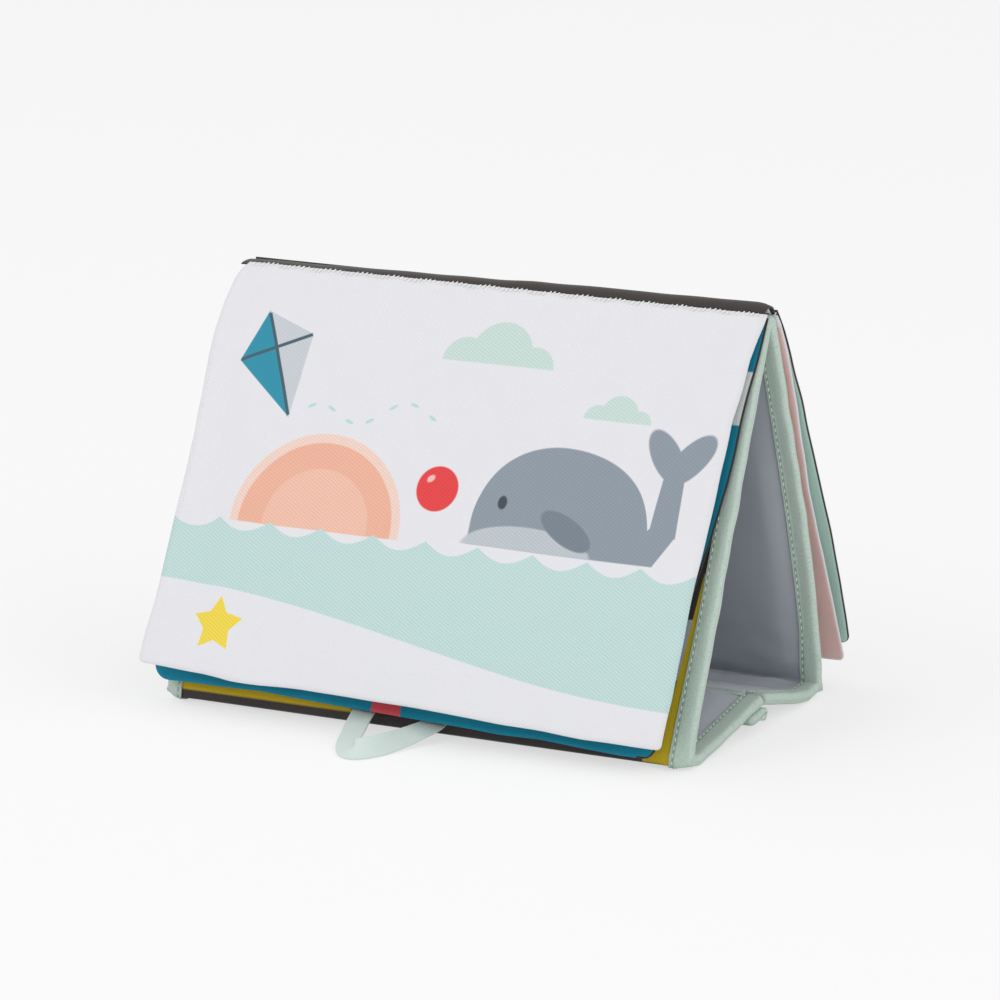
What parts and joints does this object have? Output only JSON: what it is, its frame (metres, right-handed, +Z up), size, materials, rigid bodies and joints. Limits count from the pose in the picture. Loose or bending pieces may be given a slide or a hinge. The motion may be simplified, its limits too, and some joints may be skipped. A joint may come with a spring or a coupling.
{
  "type": "fold-out cloth baby book",
  "caption": "Soft cloth book standing as a tent, with hinged front and rear covers, inner leaves, bound walls with stiffening boards, folding base flaps and a tape loop.",
  "frame": {"origin": "middle of the footprint, on the floor", "axes": "+X along the ridge to the right as seen from the front, -Y to the front cover, +Z up"},
  "size_m": [0.247, 0.1984, 0.1746],
  "materials": {
    "charcoal_cloth": "woven polyester, printed charcoal",
    "satin_lining": "grey polyester satin",
    "stiffener": "thin stiffening board, hidden",
    "mint_tape": "folded mint bias tape, twill weave",
    "closure_tape": "hook-and-loop tape",
    "white_cloth": "smooth white woven polyester",
    "teal_cloth": "woven polyester, printed teal",
    "pink_cloth": "woven polyester, printed pink",
    "mint_cloth": "woven polyester, printed mint",
    "mustard_print": "printed field, mustard yellow",
    "lavender_print": "printed field, pale lavender",
    "coral_print": "printed field, coral",
    "aqua_print": "printed field, aqua",
    "peach_print": "printed field, peach",
    "grey_print": "printed field, cool grey",
    "dark_grey_print": "printed field, dark grey",
    "yellow_print": "printed field, yellow",
    "red_print": "printed field, red"
  },
  "bodies": {
    "root": {"front_wall_cloth": "charcoal_cloth", "rear_wall_cloth": "charcoal_cloth", "front_flap_cloth": "charcoal_cloth", "rear_flap_cloth": "charcoal_cloth", "lining": "satin_lining", "front_wall_board": "stiffener", "rear_wall_board": "stiffener", "front_flap_board": "stiffener", "rear_flap_board": "stiffener", "right_binding": "mint_tape", "left_binding": "mint_tape", "front_flap_binding": "mint_tape", "rear_flap_binding": "mint_tape", "closure_lip": "charcoal_cloth", "hook_strip": "closure_tape", "loop_strip": "closure_tape", "binding_tail": "mint_tape", "pull_loop": "mint_tape", "ridge_seam": "white_cloth", "spine_strip": "charcoal_cloth", "front_leaf_face": "teal_cloth", "front_leaf_back": "charcoal_cloth", "rear_leaf_face": "pink_cloth", "rear_leaf_back": "white_cloth", "wall_yellow": "mustard_print", "wall_lavender": "lavender_print", "leaf_coral": "coral_print", "leaf_white": "white_cloth"},
    "front_cover": {"front_cover_face": "white_cloth", "front_cover_back": "mint_cloth", "print_sea": "aqua_print", "print_sun": "peach_print", "print_clouds": "mint_cloth", "print_whale": "grey_print", "print_fin": "dark_grey_print", "print_kite": "teal_cloth", "print_lines": "dark_grey_print", "print_star": "yellow_print", "print_ball": "red_print"},
    "rear_cover": {"rear_cover_face": "mint_cloth", "rear_cover_back": "charcoal_cloth"}
  },
  "joints": [
    {"name": "front_cover_hinge", "type": "hinge", "parent": "root", "child": "front_cover", "pos_m": [0.0025, 0.01638, 0.17112], "axis": [-1, 0, 0], "range_deg": [0, 150]},
    {"name": "rear_cover_hinge", "type": "hinge", "parent": "root", "child": "rear_cover", "pos_m": [0.0025, 0.02983, 0.17046], "axis": [1, 0, 0], "range_deg": [0, 150]}
  ]
}
